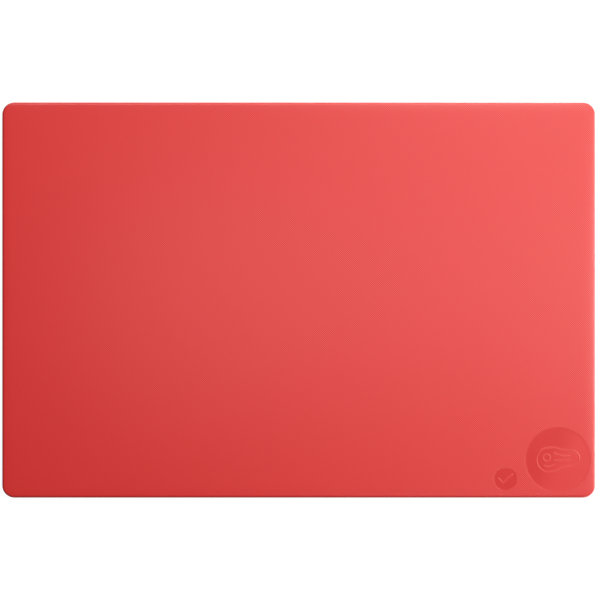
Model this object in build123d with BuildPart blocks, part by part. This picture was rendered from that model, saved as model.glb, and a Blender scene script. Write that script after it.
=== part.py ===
"""One-piece polyethylene cutting board with two round, shallow marks moulded into its cutting face.

Millimetres. +Z up, +X along the board. The origin is the middle of the underside.
"""

from build123d import *
import os

# Driving dimensions of the slab
length = 457.2
width = 304.8
thickness = 12.7
corner_radius = 9.5  # corners of the outline
edge_radius = 2.4  # rounding along the rims of both faces

# Large round mark: a recess with a sloping wall, and a steak pictogram raised from its floor
large_mouth_radius = 25.5
large_wall = 1.4  # width of the sloping wall, seen from above
large_depth = 0.1
large_inset_x = 29.3  # from its centre to the right-hand side of the board
large_inset_y = 29.4  # from its centre to the front side of the board

# Small round mark: the same form with a tick
small_mouth_radius = 9.3
small_wall = 1.1
small_depth = 0.12
small_inset_x = 69.8
small_inset_y = 14.6

# Steak pictogram, from the centre of the large mark
steak_relief = 0.08  # height above the floor of the recess
steak_stroke = 1.1
steak_outline = (
    (-16.0, 1.0),
    (-12.5, 7.6),
    (-4.5, 9.6),
    (5.0, 7.4),
    (13.0, 6.6),
    (16.6, 1.6),
    (13.4, -4.0),
    (6.0, -5.2),
    (-1.0, -8.2),
    (-9.0, -9.2),
    (-14.6, -5.4),
)
bone_centre = (-8.6, 1.6)
bone_radius = 2.7
marbling = (  # start, middle and end of each line
    ((-2.6, 5.4), (2.6, 3.4), (8.6, 3.2)),
    ((-2.4, -0.4), (3.4, -0.6), (9.2, 0.2)),
    ((-10.6, -4.4), (-6.8, -5.2), (-3.2, -4.2)),
)

# Tick, from the centre of the small mark
tick_relief = 0.08
tick_stroke = 1.4
tick_start = (-5.2, 0.3)
tick_elbow = (-1.7, -3.1)
tick_end = (5.4, 3.7)

# Centres of the marks
large_x = length / 2 - large_inset_x
large_y = large_inset_y - width / 2
small_x = length / 2 - small_inset_x
small_y = small_inset_y - width / 2
recesses = (
    (large_x, large_y, large_mouth_radius, large_wall, large_depth),
    (small_x, small_y, small_mouth_radius, small_wall, small_depth),
)

with BuildPart() as board:
    # Slab with rounded corners
    with BuildSketch(Plane.XY):
        RectangleRounded(length, width, corner_radius)
    extrude(amount=thickness)

    # Rounded rims of the underside and of the cutting face
    edge_levels = board.edges().group_by(Axis.Z)
    fillet(edge_levels[0] + edge_levels[-1], radius=edge_radius)

    # Shallow recesses of the two marks
    for x, y, mouth_radius, wall, depth in recesses:
        with Locations((x, y, thickness)):
            Cone(
                bottom_radius=mouth_radius - wall,
                top_radius=mouth_radius,
                height=depth,
                align=(Align.CENTER, Align.CENTER, Align.MAX),
                mode=Mode.SUBTRACT,
            )

    # Steak pictogram: outline, round bone, and marbling lines with round ends
    with BuildSketch(Plane((large_x, large_y, thickness - large_depth))):
        with BuildLine():
            Spline(*steak_outline, periodic=True)
        trace(line_width=steak_stroke)
        with Locations(bone_centre):
            Circle(bone_radius + steak_stroke / 2)
            Circle(bone_radius - steak_stroke / 2, mode=Mode.SUBTRACT)
        for start, middle, end in marbling:
            with BuildLine():
                ThreePointArc(start, middle, end)
            trace(line_width=steak_stroke)
            with Locations(start, end):
                Circle(steak_stroke / 2)
    extrude(amount=steak_relief)

    # Tick with round ends
    with BuildSketch(Plane((small_x, small_y, thickness - small_depth))):
        with BuildLine():
            Polyline(tick_start, tick_elbow, tick_end)
        trace(line_width=tick_stroke)
        with Locations(tick_start, tick_end):
            Circle(tick_stroke / 2)
    extrude(amount=tick_relief)

board.part.label = "board"

os.makedirs("parts", exist_ok=True)
export_step(board.part, "parts/board.step")
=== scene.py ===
"""Looks of the moulded polyethylene cutting board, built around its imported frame.

Metres. The board is one piece, so one mesh stands for the one CAD node. Its rims, the two recessed marks and
their raised pictograms are geometry. The fine diamond emboss and the plastic's grain are in the material.
"""

import bpy
import math
import numpy as np
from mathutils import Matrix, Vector
from mathutils.geometry import delaunay_2d_cdt


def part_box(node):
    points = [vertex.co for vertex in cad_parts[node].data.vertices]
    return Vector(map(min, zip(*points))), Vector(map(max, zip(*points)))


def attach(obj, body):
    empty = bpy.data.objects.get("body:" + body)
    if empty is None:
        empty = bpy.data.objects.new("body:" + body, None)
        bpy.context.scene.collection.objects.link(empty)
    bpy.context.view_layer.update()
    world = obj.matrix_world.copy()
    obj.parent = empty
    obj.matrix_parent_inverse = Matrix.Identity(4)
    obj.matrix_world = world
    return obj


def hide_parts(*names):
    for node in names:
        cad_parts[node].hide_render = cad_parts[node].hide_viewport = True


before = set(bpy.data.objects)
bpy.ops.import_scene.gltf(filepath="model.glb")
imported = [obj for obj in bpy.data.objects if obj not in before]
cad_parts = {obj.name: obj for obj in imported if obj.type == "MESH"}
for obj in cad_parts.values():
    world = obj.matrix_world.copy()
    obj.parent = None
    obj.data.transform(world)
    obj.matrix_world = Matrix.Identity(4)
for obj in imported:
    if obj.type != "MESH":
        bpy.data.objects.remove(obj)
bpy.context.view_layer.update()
board_low, board_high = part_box("board")

# Sizes of the design, which the frame's box completes
MM = 0.001
CORNER_RADIUS = 9.5 * MM
EDGE_RADIUS = 2.4 * MM
CROWN_REACH = 8.0 * MM  # how far from the sides the cutting face starts to fall away
CROWN_DROP = 0.18 * MM  # how far it has fallen where the rim starts
HALF_LENGTH = board_high.x
HALF_WIDTH = board_high.y
THICKNESS = board_high.z

LARGE_MARK = {
    "centre": np.array([HALF_LENGTH - 29.3 * MM, 29.4 * MM - HALF_WIDTH]),
    "mouth": 25.5 * MM,
    "wall": 1.4 * MM,
    "depth": 0.1 * MM,
    "relief": 0.08 * MM,
    "segments": 144,
}
SMALL_MARK = {
    "centre": np.array([HALF_LENGTH - 69.8 * MM, 14.6 * MM - HALF_WIDTH]),
    "mouth": 9.3 * MM,
    "wall": 1.1 * MM,
    "depth": 0.12 * MM,
    "relief": 0.08 * MM,
    "segments": 72,
}
# The painted shade on the large mark's floor fades out in this direction, leaving a lighter part that is a
# painted reflection
FADE_DIRECTION = np.array([0.85, -0.53])
FADE_HALF_WIDTH = 9.5 * MM

# Pictograms, in millimetres from the centre of their mark
STEAK_OUTLINE = [
    (-16.0, 1.0),
    (-12.5, 7.6),
    (-4.5, 9.6),
    (5.0, 7.4),
    (13.0, 6.6),
    (16.6, 1.6),
    (13.4, -4.0),
    (6.0, -5.2),
    (-1.0, -8.2),
    (-9.0, -9.2),
    (-14.6, -5.4),
]
BONE_CENTRE = (-8.6, 1.6)
BONE_RADIUS = 2.7
MARBLING = [
    ((-2.6, 5.4), (2.6, 3.4), (8.6, 3.2)),
    ((-2.4, -0.4), (3.4, -0.6), (9.2, 0.2)),
    ((-10.6, -4.4), (-6.8, -5.2), (-3.2, -4.2)),
]
STEAK_STROKE = 1.1
TICK = [(-5.2, 0.3), (-1.7, -3.1), (5.4, 3.7)]
TICK_STROKE = 1.4

# Fineness of the mesh
FACE_STEP = 6.0 * MM  # between points on the flat faces
FLOOR_STEP = 1.0 * MM  # between points on the floors of the marks
RELIEF_STEP = 0.22 * MM  # between points on and beside the raised strokes
OUTLINE_STEPS = 12  # from one point of the steak's outline to the next
MARBLING_STEPS = 14
BONE_STEPS = 36
CORNER_STEPS = 20
RIM_STEPS = 10
SIDE_STEPS = 3
WALL_RINGS = 8  # across the wall of a recess
CROWN_STEPS = 5
SOFTENING = 0.15 * MM  # how far the rounding reaches past both edges of a recess wall
STROKE_SLOPE = 0.3 * MM  # half the width of a raised stroke's rounded side
BORDER_GAP = 0.4 * MM  # between the crowned border's points and a mark
RING_SLACK = 0.015 * MM  # lets a point on a mark's outermost ring count as outside the mark
SLOPE_REACH = 0.01 * MM  # to both sides of a point, when its slope is measured
MERGE_DISTANCE = 1e-9

# The rim's rounding starts at the slope that the crowned border ends with
RIM_START = 2 * CROWN_DROP / (CROWN_REACH - EDGE_RADIUS)
RIM_INSET = EDGE_RADIUS * (1 - math.sin(RIM_START))

# The emboss: small pyramids in rows at 45 degrees
EMBOSS_PITCH = 1.0883 * MM
EMBOSS_HEIGHT = 0.045 * MM
EMBOSS_START = (1.385 * MM, 0.385 * MM)  # where two rows of valleys cross, from the middle of the board
EMBOSS_END = math.pi / 6  # how far round the rims the emboss goes, as an angle of their rounding
RIDGE_ROUNDING = 0.2

# The plastic: colours are linear, and shares say how far one colour goes over to the next
CLOUD_COLOURS = ((0.647, 0.0494, 0.0473, 1), (0.675, 0.0512, 0.0491, 1))
# Painted shade in the emboss's valleys, darker than the bump alone shades them
VALLEY_SHADE_COLOUR = (0.575, 0.0025, 0.0025, 1)
# Painted shade on the marks' smooth floors, which lack the sheen of the emboss
MARK_SHADE_COLOUR = (0.55, 0.008, 0.008, 1)
VALLEY_SHADE_SHARE = 0.95
MARK_SHADE_SHARE = 0.85
PLAIN_VALLEY_SHADE = 0.52  # how much of the valleys' painted shade the plain parts have
VALLEY_FLOOR = 0.12  # share of a pyramid's height below which the valleys' painted shade is full
VALLEY_BRIM = 0.5  # and above which there is none
CLOUD_SCALE = 14.0
GRAIN_SCALE = 900.0
GRAIN_RANGE = (0.3, 0.7)
GRAIN_HEIGHT = 0.01 * MM
ROUGHNESS_RANGE = (0.32, 0.36)

# Lights. Cards lie on the floor beside the board and light its rims.
UP = (0, 0, 1)
DOWN = (0, 0, -1)
BOX_HEIGHT = 1.5
BOX_SIZE = (0.45, 0.45)
CARD_HEIGHT = 0.001
ROW_CARDS = 8
ROW_CARD_SIZE = (0.06, 0.28)
ROW_DISTANCE = 0.3  # from the middle of the board
FILL_STRENGTH = 0.08
BACKGROUND_STRENGTH = 1.0

FLOOR_REACH = 6.0
FLOOR_GAP = 0.05 * MM  # between the floor and the underside
FLOOR_GREY = (0.12, 0.12, 0.12, 1)
FLOOR_GLOW = 0.93

SENSOR_WIDTH = 36.0
LENS = 85.0
FRAME_OVER_BOARD = 1.01215  # how much wider the picture is than the board
CAMERA_X = 1.0 * MM


# ---------------------------------------------------------------- curves of the pictograms


def closed_curve(points):
    """A smooth closed curve through the points (Catmull-Rom), as a closed polyline."""
    points = np.array(points)
    curve = []
    for i in range(len(points)):
        before, start, end, after = (points[(i + k) % len(points)] for k in (-1, 0, 1, 2))
        for t in np.linspace(0, 1, OUTLINE_STEPS, endpoint=False):
            curve.append(
                start
                + 0.5 * t * (end - before)
                + t**2 * (before - 2.5 * start + 2 * end - 0.5 * after)
                + 0.5 * t**3 * (3 * start - before - 3 * end + after)
            )
    return np.array(curve + [curve[0]])


def arc(start, middle, end):
    """The arc through three points, as a polyline."""
    (ax, ay), (bx, by), (cx, cy) = start, middle, end
    d = 2 * (ax * (by - cy) + bx * (cy - ay) + cx * (ay - by))
    a, b, c = ax * ax + ay * ay, bx * bx + by * by, cx * cx + cy * cy
    centre_x = (a * (by - cy) + b * (cy - ay) + c * (ay - by)) / d
    centre_y = (a * (cx - bx) + b * (ax - cx) + c * (bx - ax)) / d
    radius = math.hypot(ax - centre_x, ay - centre_y)
    turns = np.unwrap([math.atan2(y - centre_y, x - centre_x) for x, y in (start, middle, end)])
    return circle((centre_x, centre_y), radius, np.linspace(turns[0], turns[2], MARBLING_STEPS))


def circle(centre, radius, angles):
    """The points of a circle at these angles."""
    return np.array(centre) + radius * np.column_stack([np.cos(angles), np.sin(angles)])


def steak_strokes():
    """(centre line, width) of each stroke of the steak, in millimetres."""
    bone = circle(BONE_CENTRE, BONE_RADIUS, np.linspace(0, 2 * math.pi, BONE_STEPS + 1))
    lines = [closed_curve(STEAK_OUTLINE), bone]
    lines += [arc(*points) for points in MARBLING]
    return [(line, STEAK_STROKE) for line in lines]


LARGE_MARK["strokes"] = steak_strokes()
SMALL_MARK["strokes"] = [(np.array(TICK), TICK_STROKE)]
MARKS = (LARGE_MARK, SMALL_MARK)


# ---------------------------------------------------------------- heights of the cutting face


def smooth(t):
    """0 to 1 with level ends."""
    t = np.clip(t, 0, 1)
    return t * t * (3 - 2 * t)


def stroke_distance(points, strokes):
    """How far each point lies outside the nearest stroke's edge, in metres. Negative inside a stroke."""
    nearest = np.full(len(points), np.inf)
    for line, width in strokes:
        starts, ends = line[:-1] * MM, line[1:] * MM
        for start, end in zip(starts, ends):
            along = end - start
            share = np.clip((points - start) @ along / (along @ along), 0, 1)
            away = np.linalg.norm(points - start - share[:, None] * along, axis=1)
            nearest = np.minimum(nearest, away - width * MM / 2)
    return nearest


def distance_to_side(points):
    """How far each point lies inside the board's outline."""
    past = np.abs(points) - [HALF_LENGTH - CORNER_RADIUS, HALF_WIDTH - CORNER_RADIUS]
    outside = np.linalg.norm(np.maximum(past, 0), axis=1)
    return CORNER_RADIUS - outside - np.minimum(np.max(past, axis=1), 0)


def raised_share(local, mark):
    """1 on the raised strokes of a mark and 0 off them."""
    return smooth((STROKE_SLOPE - stroke_distance(local, mark["strokes"])) / (2 * STROKE_SLOPE))


def height(points):
    """Height of the cutting face at each point: a crowned border, and both marks pressed in."""
    fall = np.clip((CROWN_REACH - distance_to_side(points)) / (CROWN_REACH - RIM_INSET), 0, None)
    z = THICKNESS - CROWN_DROP * fall**2
    for mark in MARKS:
        local = points - mark["centre"]
        radius = np.linalg.norm(local, axis=1)
        inside = radius < mark["mouth"] + SOFTENING
        wall = (mark["mouth"] + SOFTENING - radius[inside]) / (mark["wall"] + 2 * SOFTENING)
        raised = raised_share(local[inside], mark)
        z[inside] += mark["relief"] * raised - mark["depth"] * smooth(wall)
    return z


def painted_mark_shade(points):
    """Share of painted shade at each point: up to 1 on the marks' smooth floors, 0 on their strokes and on
    the board.
    """
    share = np.zeros(len(points))
    for mark in MARKS:
        local = points - mark["centre"]
        radius = np.linalg.norm(local, axis=1)
        inside = radius < mark["mouth"]
        floor = smooth((mark["mouth"] - radius[inside]) / mark["wall"])
        share[inside] = floor * (1 - raised_share(local[inside], mark))
        # On the large mark the painted shade fades out towards the lower right, whose lighter floor is a
        # painted reflection
        if mark is LARGE_MARK:
            across = local[inside] @ FADE_DIRECTION
            share[inside] *= smooth((FADE_HALF_WIDTH - across) / (2 * FADE_HALF_WIDTH))
    return share


def normals_of(points):
    """Upward unit normals of the cutting face, from the slope of its height."""
    slopes = []
    for step in ([SLOPE_REACH, 0], [0, SLOPE_REACH]):
        slopes.append((height(points + step) - height(points - step)) / (2 * SLOPE_REACH))
    normals = np.column_stack([-slopes[0], -slopes[1], np.ones(len(points))])
    return normals / np.linalg.norm(normals, axis=1)[:, None]


# ---------------------------------------------------------------- mesh


def outline(inset):
    """Points and outward directions round the board's outline, moved in by inset."""
    points, outward = [], []
    corner_x, corner_y = HALF_LENGTH - CORNER_RADIUS, HALF_WIDTH - CORNER_RADIUS
    centres = [(corner_x, corner_y), (-corner_x, corner_y), (-corner_x, -corner_y), (corner_x, -corner_y)]
    for i, centre in enumerate(centres):
        for k in range(CORNER_STEPS + 1):
            angle = math.pi / 2 * (i + k / CORNER_STEPS)
            direction = np.array([math.cos(angle), math.sin(angle)])
            points.append(np.array(centre) + (CORNER_RADIUS - inset) * direction)
            outward.append(direction)
        run = np.array(centres[(i + 1) % 4]) - centre
        steps = round(np.linalg.norm(run) / FACE_STEP)
        start = points[-1]
        for k in range(1, steps):
            points.append(start + run * k / steps)
            outward.append(outward[-1])
    return np.array(points), np.array(outward)


def triangular_grid(low, high, step):
    """Points of a triangular grid over a box."""
    columns = np.arange(low[0], high[0], step)
    grid = []
    for i, y in enumerate(np.arange(low[1], high[1], step * math.sqrt(3) / 2)):
        grid.append(np.column_stack([columns + (i % 2) * step / 2, np.full(len(columns), y)]))
    return np.vstack(grid)


def mark_points(mark):
    """Points for one mark: (rings across its wall as loops, free points on its floor and strokes)."""
    outer = mark["mouth"] + SOFTENING
    inner = mark["mouth"] - mark["wall"] - SOFTENING
    angles = np.linspace(0, 2 * math.pi, mark["segments"], endpoint=False)
    loops = [circle(mark["centre"], radius, angles) for radius in np.linspace(outer, inner, WALL_RINGS)]

    extent = np.array([inner, inner])
    band = STROKE_SLOPE + RELIEF_STEP
    coarse = triangular_grid(-extent, extent, FLOOR_STEP)
    coarse = coarse[np.linalg.norm(coarse, axis=1) < inner - FLOOR_STEP / 2]
    coarse = coarse[stroke_distance(coarse, mark["strokes"]) > band + FLOOR_STEP / 2]
    fine = triangular_grid(-extent, extent, RELIEF_STEP)
    fine = fine[np.linalg.norm(fine, axis=1) < inner - RELIEF_STEP]
    fine = fine[stroke_distance(fine, mark["strokes"]) < band]
    return loops, [mark["centre"] + coarse, mark["centre"] + fine]


def triangulate(edge_loop, loops, free):
    """Points and upward triangles of a flat region with the given loops kept.

    The edge loop's points come first.
    """
    points = np.vstack([edge_loop] + loops + free)
    edges, start = [], 0
    for loop in [edge_loop] + loops:
        count = len(loop)
        edges += [(start + i, start + (i + 1) % count) for i in range(count)]
        start += count
    vectors = [Vector(p) for p in points]
    made, _, faces, origins, _, _ = delaunay_2d_cdt(vectors, edges, [], 0, MERGE_DISTANCE, True)
    made = np.array(made)
    place = {source: i for i, sources in enumerate(origins) for source in sources}
    first = [place[i] for i in range(len(edge_loop))]
    rest = sorted(set(range(len(made))) - set(first))
    order = np.empty(len(made), int)
    order[first + rest] = np.arange(len(made))
    faces = order[np.array(faces)]
    made = made[first + rest]
    a, b, c = (made[faces[:, k]] for k in range(3))
    turn = (b[:, 0] - a[:, 0]) * (c[:, 1] - a[:, 1]) - (b[:, 1] - a[:, 1]) * (c[:, 0] - a[:, 0])
    faces[turn < 0] = faces[turn < 0][:, ::-1]
    return made, faces


def away_from_marks(points, margin):
    """True for each point that is farther than the margin outside both marks."""
    keep = np.ones(len(points), bool)
    for mark in MARKS:
        keep &= np.linalg.norm(points - mark["centre"], axis=1) > mark["mouth"] + SOFTENING + margin
    return keep


def cutting_face(edge_loop, grid):
    """Flat places of the cutting face's points, and its triangles."""
    inner = grid[distance_to_side(grid) > CROWN_REACH + FACE_STEP / 2]
    free = [inner[away_from_marks(inner, FACE_STEP / 3)]]
    for inset in np.linspace(RIM_INSET, CROWN_REACH, CROWN_STEPS + 1)[1:]:
        line, _ = outline(inset)
        free.append(line[away_from_marks(line, BORDER_GAP)])
    loops = []
    for mark in MARKS:
        mark_loops, mark_free = mark_points(mark)
        loops += mark_loops
        free += mark_free
    return triangulate(edge_loop, loops, free)


def underside(grid):
    """Flat places of the underside's points, and its triangles, facing up."""
    loop, _ = outline(EDGE_RADIUS)
    return triangulate(loop, [], [grid[distance_to_side(grid) > EDGE_RADIUS + FACE_STEP / 2]])


def rim_rings():
    """(angle of the normal from straight up, height) of each ring down the rims and the side."""
    upper = np.linspace(RIM_START, math.pi / 2, RIM_STEPS + 1)[1:]
    lower = np.linspace(math.pi / 2, math.pi, RIM_STEPS + 1)[:-1]
    centre = THICKNESS - CROWN_DROP - EDGE_RADIUS * math.cos(RIM_START)
    rings = [(angle, centre + EDGE_RADIUS * math.cos(angle)) for angle in upper]
    for k in range(1, SIDE_STEPS):
        rings.append((math.pi / 2, centre + (EDGE_RADIUS - centre) * k / SIDE_STEPS))
    return rings + [(angle, EDGE_RADIUS * (1 + math.cos(angle))) for angle in lower]


def build_board():
    """The closed mesh of the whole board: points, faces, normals and values at each point by name."""
    grid = triangular_grid([-HALF_LENGTH, -HALF_WIDTH], [HALF_LENGTH, HALF_WIDTH], FACE_STEP)
    edge_loop, outward = outline(RIM_INSET)
    count = len(edge_loop)

    # Cutting face, with the emboss everywhere but in the marks
    top, top_faces = cutting_face(edge_loop, grid)
    points = [np.column_stack([top, height(top)])]
    normals = [normals_of(top)]
    masks = [away_from_marks(top, -RING_SLACK).astype(float)]
    painted_mark_shades = [painted_mark_shade(top)]
    faces = [tuple(face) for face in top_faces]
    above = list(range(count))
    start = len(top)

    def join(above, start):
        """Faces from the ring above down to the one that starts here, which becomes the ring above."""
        below = list(range(start, start + count))
        for i in range(count):
            j = (i + 1) % count
            faces.append((above[i], below[i], below[j], above[j]))
        return below

    # Rim: rounding from the crowned border, side, quarter round
    for angle, z in rim_rings():
        flat, _ = outline(EDGE_RADIUS * (1 - math.sin(angle)))
        points.append(np.column_stack([flat, np.full(count, z)]))
        normals.append(np.column_stack([outward * math.sin(angle), np.full(count, math.cos(angle))]))
        masks.append(np.full(count, 1.0 if min(angle, math.pi - angle) < EMBOSS_END else 0.0))
        painted_mark_shades.append(np.zeros(count))
        above = join(above, start)
        start += count

    # Underside, flat, joined to the last ring
    under, under_faces = underside(grid)
    points.append(np.column_stack([under, np.zeros(len(under))]))
    normals.append(np.tile([0.0, 0.0, -1.0], (len(under), 1)))
    masks.append(np.ones(len(under)))
    painted_mark_shades.append(np.zeros(len(under)))
    join(above, start)
    faces += [tuple(start + face[::-1]) for face in under_faces]
    attributes = {"emboss": np.concatenate(masks), "painted_mark_shade": np.concatenate(painted_mark_shades)}
    return np.vstack(points), faces, np.vstack(normals), attributes


def make_board():
    """The board's object, smooth shaded with its own normals."""
    points, faces, normals, attributes = build_board()
    mesh = bpy.data.meshes.new("cutting_board")
    mesh.from_pydata([Vector(p) for p in points], [], faces)
    for name, values in attributes.items():
        attribute = mesh.attributes.new(name, "FLOAT", "POINT")
        attribute.data.foreach_set("value", values.astype(np.float32))
    mesh.polygons.foreach_set("use_smooth", np.ones(len(mesh.polygons), bool))
    mesh.validate()
    mesh.normals_split_custom_set_from_vertices([Vector(n) for n in normals])
    board = bpy.data.objects.new("cutting_board", mesh)
    bpy.context.scene.collection.objects.link(board)
    return board


# ---------------------------------------------------------------- material


class Nodes:
    """Short calls for building one material's node tree."""

    def __init__(self, name):
        self.material = bpy.data.materials.new(name)
        self.material.use_nodes = True
        self.tree = self.material.node_tree
        self.tree.nodes.clear()

    def add(self, kind, settings=None, **inputs):
        """A node of this kind. Inputs are values or outputs, by socket name with _ for a space."""
        node = self.tree.nodes.new(kind)
        for key, value in (settings or {}).items():
            setattr(node, key, value)
        for key, value in inputs.items():
            self.set(node.inputs[key.replace("_", " ")], value)
        return node

    def set(self, socket, value):
        """Link another node's output to the socket, or give it a fixed value."""
        if isinstance(value, bpy.types.NodeSocket):
            self.tree.links.new(value, socket)
        else:
            socket.default_value = value

    def math(self, operation, *values):
        node = self.tree.nodes.new("ShaderNodeMath")
        node.operation = operation
        for socket, value in zip(node.inputs, values):
            self.set(socket, value)
        return node.outputs[0]

    def mix(self, share, low, high):
        """The colour low where the share is 0, and high where it is 1."""
        node = self.tree.nodes.new("ShaderNodeMix")
        node.data_type = "RGBA"
        for name, value in (("Factor_Float", share), ("A_Color", low), ("B_Color", high)):
            socket = next(s for s in node.inputs if s.identifier == name)
            self.set(socket, value)
        return next(s for s in node.outputs if s.identifier == "Result_Color")

    def noise(self, position, scale, detail, roughness):
        node = self.add(
            "ShaderNodeTexNoise", Vector=position, Scale=scale, Detail=detail, Roughness=roughness
        )
        return node.outputs["Fac"]

    def ramp(self, value, low, high, to_low, to_high):
        """A smooth step from to_low, where the value is low, to to_high, where it is high."""
        node = self.add("ShaderNodeMapRange", {"interpolation_type": "SMOOTHSTEP"}, Value=value)
        for name, number in (("From Min", low), ("From Max", high), ("To Min", to_low), ("To Max", to_high)):
            node.inputs[name].default_value = number
        return node.outputs[0]


def polyethylene():
    """Red polyethylene with a fine diamond emboss, smooth where the emboss mask is 0, with painted shade in
    the emboss's valleys and on the marks' floors.
    """
    n = Nodes("red_polyethylene")
    position = n.add("ShaderNodeTexCoord").outputs["Object"]
    axes = n.add("ShaderNodeSeparateXYZ", Vector=position).outputs
    mask = n.add("ShaderNodeAttribute", {"attribute_name": "emboss"}).outputs["Fac"]

    # Emboss: the lower of two rows of ridges that cross
    diagonal = EMBOSS_PITCH * math.sqrt(2)
    x = n.math("SUBTRACT", axes["X"], EMBOSS_START[0])
    y = n.math("SUBTRACT", axes["Y"], EMBOSS_START[1])
    along = n.math("DIVIDE", n.math("ADD", x, y), diagonal)
    across = n.math("DIVIDE", n.math("SUBTRACT", x, y), diagonal)
    rise_along = n.math("MULTIPLY", n.math("PINGPONG", along, 0.5), 2.0)
    rise_across = n.math("MULTIPLY", n.math("PINGPONG", across, 0.5), 2.0)
    pyramid = n.math("SMOOTH_MIN", rise_along, rise_across, RIDGE_ROUNDING)
    emboss = n.math("MULTIPLY", pyramid, mask)

    # Colour: softly cloudy, with painted shade darkening the valleys of the emboss and the smooth floors of
    # the marks
    cloud = n.noise(position, CLOUD_SCALE, 3.0, 0.55)
    base = n.mix(cloud, *CLOUD_COLOURS)
    # Painted shade in the emboss's valleys, stronger than the bump alone shades them; plain parts get a
    # share of it
    valley = n.ramp(pyramid, VALLEY_FLOOR, VALLEY_BRIM, 1.0, 0.0)
    plain = n.math("MULTIPLY", n.math("SUBTRACT", 1.0, mask), PLAIN_VALLEY_SHADE)
    valley = n.math("MULTIPLY_ADD", valley, mask, plain)
    base = n.mix(n.math("MULTIPLY", valley, VALLEY_SHADE_SHARE), base, VALLEY_SHADE_COLOUR)
    # Painted shade on the marks' smooth floors, fading out on the large mark where a painted reflection
    # lightens it
    mark_shade = n.add("ShaderNodeAttribute", {"attribute_name": "painted_mark_shade"}).outputs["Fac"]
    base = n.mix(n.math("MULTIPLY", mark_shade, MARK_SHADE_SHARE), base, MARK_SHADE_COLOUR)

    # Roughness: about the same all over, with a little grain
    grain = n.noise(position, GRAIN_SCALE, 2.0, 0.6)
    rough = n.ramp(grain, *GRAIN_RANGE, *ROUGHNESS_RANGE)

    # Relief of the surface: emboss, then moulding grain
    bump = n.add("ShaderNodeBump", Strength=1.0, Distance=EMBOSS_HEIGHT, Height=emboss).outputs[0]
    fine = n.add("ShaderNodeBump", Strength=0.5, Distance=GRAIN_HEIGHT, Height=grain, Normal=bump).outputs[0]

    shader = n.add(
        "ShaderNodeBsdfPrincipled",
        Base_Color=base,
        Roughness=rough,
        IOR=1.51,
        Specular_IOR_Level=0.6,
        Specular_Tint=(1.0, 1.0, 0.95, 1.0),
        Normal=fine,
    )
    n.add("ShaderNodeOutputMaterial", Surface=shader.outputs[0])
    return n.material


# ---------------------------------------------------------------- stage


def soft_box(name, centre, facing, size, radiance):
    """A rectangular soft box that the camera doesn't see."""
    data = bpy.data.lights.new(name, "AREA")
    data.shape = "RECTANGLE"
    data.size, data.size_y = size
    data.energy = math.pi * size[0] * size[1] * radiance
    light = bpy.data.objects.new(name, data)
    light.location = centre
    light.rotation_mode = "QUATERNION"
    light.rotation_quaternion = (-Vector(facing)).to_track_quat("Z", "Y")
    light.visible_camera = False
    bpy.context.scene.collection.objects.link(light)


def card_row(name, y, lowest, rise):
    """A row of cards along one side of the board, brighter towards its right-hand end."""
    for i in range(ROW_CARDS):
        place = (ROW_CARD_SIZE[0] * (i - (ROW_CARDS - 1) / 2), y, CARD_HEIGHT)
        soft_box(f"{name}_{i}", place, UP, ROW_CARD_SIZE, lowest + rise * i**2)


def build_lights():
    """One soft box over the board, farther ones round it, and cards that light its rims."""
    soft_box("overhead", (0.15, 0.03, 0.6), DOWN, (0.8, 0.3), 1.25)
    soft_box("front_right", (0.5, -0.9, BOX_HEIGHT), DOWN, BOX_SIZE, 5.2)
    soft_box("right", (1.35, 0, BOX_HEIGHT), DOWN, BOX_SIZE, 39.5)
    soft_box("back", (0.45, 1.12, BOX_HEIGHT), DOWN, (0.45, 0.9), 15.6)
    soft_box("back_left", (-0.45, 1.35, BOX_HEIGHT), DOWN, BOX_SIZE, 19.5)
    soft_box("card_right", (0.42, 0, CARD_HEIGHT), UP, (0.36, 0.5), 7.0)
    card_row("card_front", -ROW_DISTANCE, 0.2, 0.014)
    card_row("card_back", ROW_DISTANCE, 2.0, 0.11)


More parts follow.
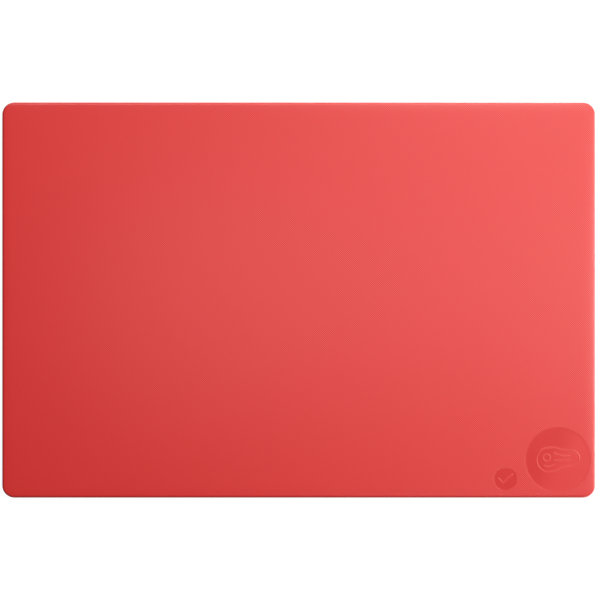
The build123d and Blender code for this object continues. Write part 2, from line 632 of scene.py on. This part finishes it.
def build_stage():
    """A plain white floor that the board lies on."""
    corners = [(-1, -1), (1, -1), (1, 1), (-1, 1)]
    mesh = bpy.data.meshes.new("floor")
    mesh.from_pydata([(x * FLOOR_REACH, y * FLOOR_REACH, 0) for x, y in corners], [], [(0, 1, 2, 3)])
    floor = bpy.data.objects.new("floor", mesh)
    floor.location.z = board_low.z - FLOOR_GAP
    bpy.context.scene.collection.objects.link(floor)
    n = Nodes("white_floor")
    shader = n.add(
        "ShaderNodeBsdfPrincipled",
        Base_Color=FLOOR_GREY,
        Roughness=0.9,
        Emission_Color=(1, 1, 1, 1),
        Emission_Strength=FLOOR_GLOW,
    )
    n.add("ShaderNodeOutputMaterial", Surface=shader.outputs[0])
    mesh.materials.append(n.material)
    floor.visible_diffuse = False
    floor.visible_glossy = False


def build_world():
    """Even dim light from all round, and a plain pale background where the camera sees past the floor."""
    world = bpy.data.worlds.new("studio")
    world.use_nodes = True
    tree = world.node_tree
    tree.nodes.clear()
    path = tree.nodes.new("ShaderNodeLightPath")
    choose = tree.nodes.new("ShaderNodeMixShader")
    tree.links.new(path.outputs["Is Camera Ray"], choose.inputs[0])
    for i, strength in enumerate((FILL_STRENGTH, BACKGROUND_STRENGTH)):
        white = tree.nodes.new("ShaderNodeBackground")
        white.inputs["Strength"].default_value = strength
        white.inputs["Color"].default_value = (1, 1, 1, 1)
        tree.links.new(white.outputs[0], choose.inputs[1 + i])
    out = tree.nodes.new("ShaderNodeOutputWorld")
    tree.links.new(choose.outputs[0], out.inputs[0])
    bpy.context.scene.world = world


def build_camera():
    """Straight above, with the board nearly filling the frame's width."""
    data = bpy.data.cameras.new("camera")
    data.sensor_width = SENSOR_WIDTH
    data.lens = LENS
    widest = THICKNESS - EDGE_RADIUS
    frame_width = 2 * HALF_LENGTH * FRAME_OVER_BOARD
    camera = bpy.data.objects.new("camera", data)
    camera.location = (CAMERA_X, 0, widest + frame_width * LENS / SENSOR_WIDTH)
    bpy.context.scene.collection.objects.link(camera)
    bpy.context.scene.camera = camera


board = make_board()
board.data.materials.append(polyethylene())
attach(board, "root")
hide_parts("board")

build_stage()
build_world()
build_lights()
build_camera()
bpy.context.scene.view_settings.view_transform = "Standard"
